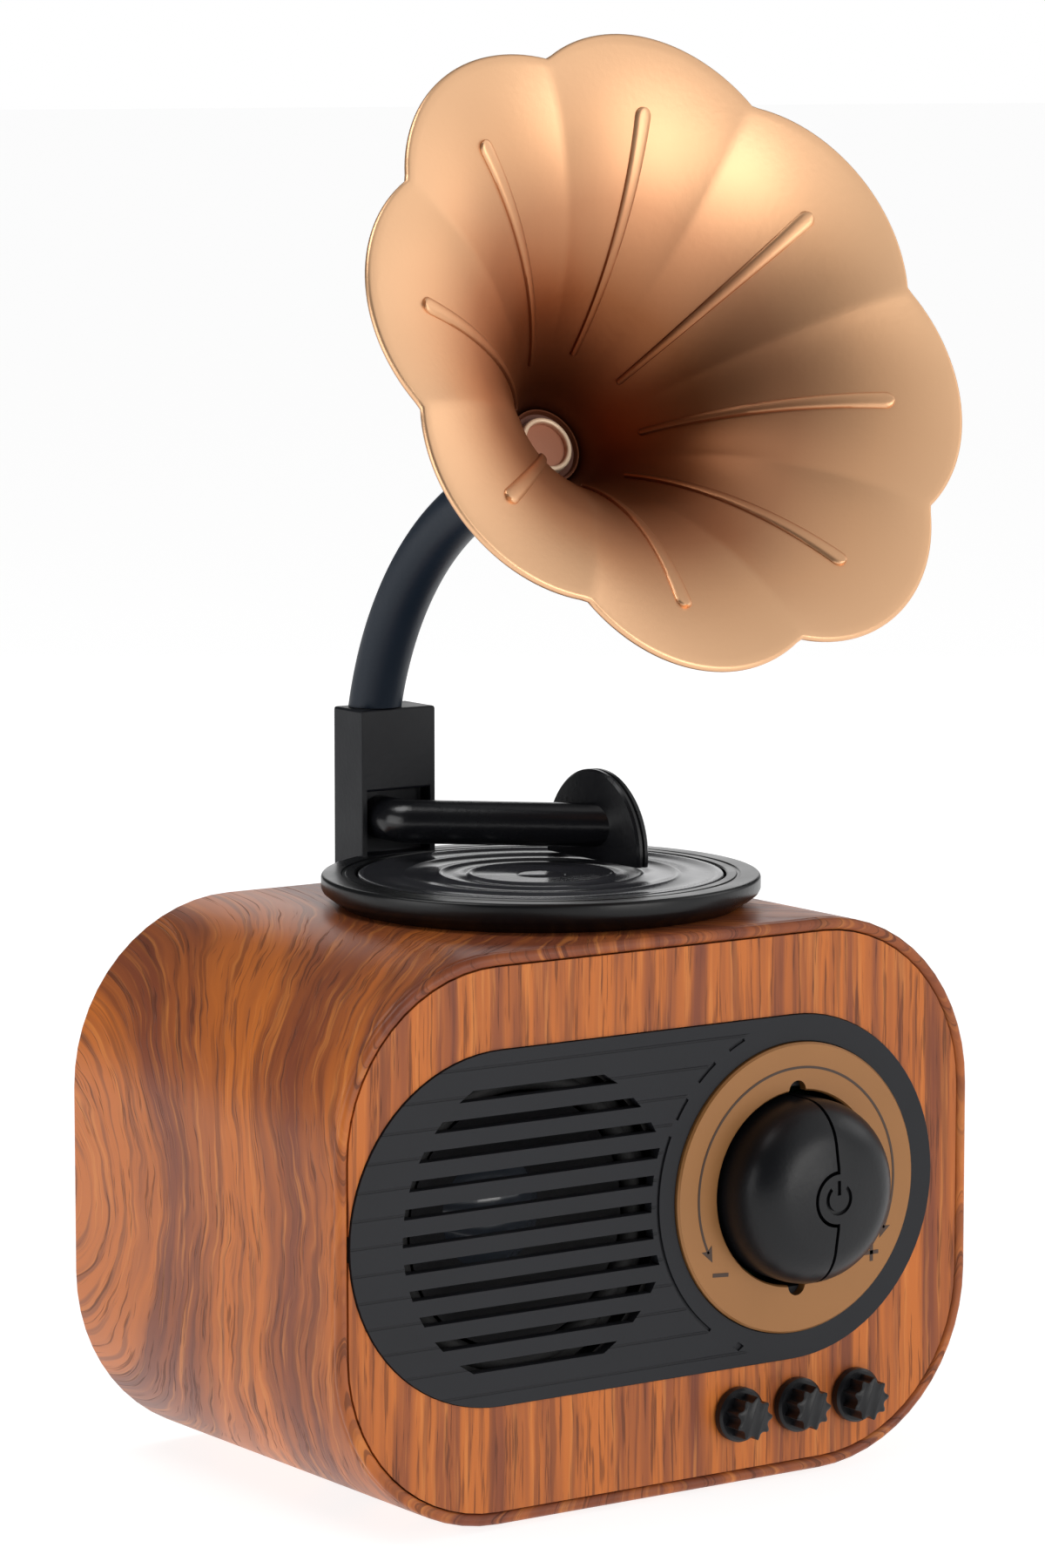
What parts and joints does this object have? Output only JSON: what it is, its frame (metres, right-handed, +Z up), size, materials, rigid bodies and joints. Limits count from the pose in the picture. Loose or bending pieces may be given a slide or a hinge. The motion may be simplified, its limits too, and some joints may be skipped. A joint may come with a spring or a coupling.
{
  "type": "horn loudspeaker",
  "caption": "Small table loudspeaker shaped like a horn gramophone: rounded wood-look case, slotted grille, big twist-and-press dial, small knobs, record deck and a lobed horn on a bent tube.",
  "frame": {"origin": "centre of the underside of the rubber pad that the cabinet stands on", "axes": "+Z up, the grille and the dial face -Y, +X to the right seen from the front"},
  "size_m": [0.0944, 0.0868, 0.1782],
  "materials": {
    "wood_case": "wood-grain printed plastic, satin lacquer",
    "grille_black": "satin",
    "bronze": "satin anodised",
    "black_plastic": "semi-gloss",
    "tube_black": "semi-gloss",
    "horn_gold": "champagne metallic lacquer",
    "rubber": "matt",
    "steel": "zinc plated",
    "ferrite": "sintered",
    "paper_cone": "pressed pulp",
    "copper": "enamelled wire",
    "board_green": "solder mask",
    "white_plastic": "moulded",
    "battery_wrap": "shrink sleeve",
    "tape": "adhesive tape",
    "lamp_lens": "clear tinted",
    "wire_red": "insulated wire",
    "wire_grey": "flat lead"
  },
  "bodies": {
    "cabinet": {"cabinet_shell": "wood_case", "front_panel": "wood_case", "rear_cover": "wood_case", "rear_cover_screws": "steel", "base_pad": "rubber", "grille_panel": "grille_black", "dial_ring": "bronze", "dial_housing": "grille_black", "power_switch": "steel", "tone_pots": "steel", "control_board": "board_green", "control_board_screws": "steel", "driver_gasket": "rubber", "driver_frame": "steel", "driver_surround": "rubber", "driver_spider": "tape", "magnet_front_plate": "steel", "magnet_ring": "ferrite", "magnet_back_plate": "steel", "driver_screws": "steel", "battery_tray": "grille_black", "battery": "battery_wrap", "battery_strap": "tape", "main_board": "board_green", "main_board_screws": "steel", "circuit_chips": "grille_black", "charging_socket": "steel", "audio_jack": "grille_black", "card_slot": "steel", "status_lamp": "lamp_lens", "microphone": "steel", "speaker_leads": "wire_red", "battery_leads": "wire_red", "control_leads": "wire_grey", "deck_disc": "black_plastic", "deck_screws": "steel", "horn_post": "black_plastic", "post_screws": "steel"},
    "dial_push": {"dial_plunger": "white_plastic"},
    "dial": {"dial_knob_left": "black_plastic", "dial_knob_right": "black_plastic", "dial_shaft": "steel"},
    "tone_left": {"tone_knob_left": "black_plastic", "tone_shaft_left": "steel"},
    "tone_middle": {"tone_knob_middle": "black_plastic", "tone_shaft_middle": "steel"},
    "tone_right": {"tone_knob_right": "black_plastic", "tone_shaft_right": "steel"},
    "cone_assembly": {"driver_cone": "paper_cone", "dust_cap": "paper_cone", "voice_coil": "copper"},
    "turntable": {"record": "black_plastic", "record_axle": "steel", "axle_clip": "steel"},
    "arm": {"tonearm": "black_plastic", "soundbox": "black_plastic"},
    "horn": {"elbow_tube": "tube_black", "throat_collar": "horn_gold", "throat_cap": "horn_gold", "horn_bell": "horn_gold"}
  },
  "joints": [
    {"name": "dial_press", "type": "slide", "parent": "cabinet", "child": "dial_push", "axis": [0, 1, 0], "range_m": [0, 0.0008], "stiffness_N_per_m": 2000},
    {"name": "dial_twist", "type": "hinge", "parent": "dial_push", "child": "dial", "pos_m": [0.0198, -0.03, 0.0368], "axis": [0, -1, 0], "range_deg": [-28, 28], "stiffness_Nm_per_rad": 0.06},
    {"name": "tone_left_turn", "type": "hinge", "parent": "cabinet", "child": "tone_left", "pos_m": [0.0112, -0.03, 0.0094], "axis": [0, -1, 0], "range_deg": [-135, 135]},
    {"name": "tone_middle_turn", "type": "hinge", "parent": "cabinet", "child": "tone_middle", "pos_m": [0.0203, -0.03, 0.0094], "axis": [0, -1, 0], "range_deg": [-135, 135]},
    {"name": "tone_right_turn", "type": "hinge", "parent": "cabinet", "child": "tone_right", "pos_m": [0.0294, -0.03, 0.0094], "axis": [0, -1, 0], "range_deg": [-135, 135]},
    {"name": "cone_travel", "type": "slide", "parent": "cabinet", "child": "cone_assembly", "axis": [0, -1, 0], "range_m": [-0.0005, 0.0005], "stiffness_N_per_m": 1000},
    {"name": "record_spin", "type": "hinge", "parent": "cabinet", "child": "turntable", "pos_m": [0.0031, 0, 0.07], "axis": [0, 0, 1], "continuous": true},
    {"name": "tonearm_lift", "type": "hinge", "parent": "cabinet", "child": "arm", "pos_m": [-0.0042, 0.0204, 0.0786], "axis": [0, -1, 0], "range_deg": [0, 35]},
    {"name": "horn_swivel", "type": "hinge", "parent": "cabinet", "child": "horn", "pos_m": [-0.004, 0.0269, 0.09], "axis": [0, 0, 1], "continuous": true}
  ]
}
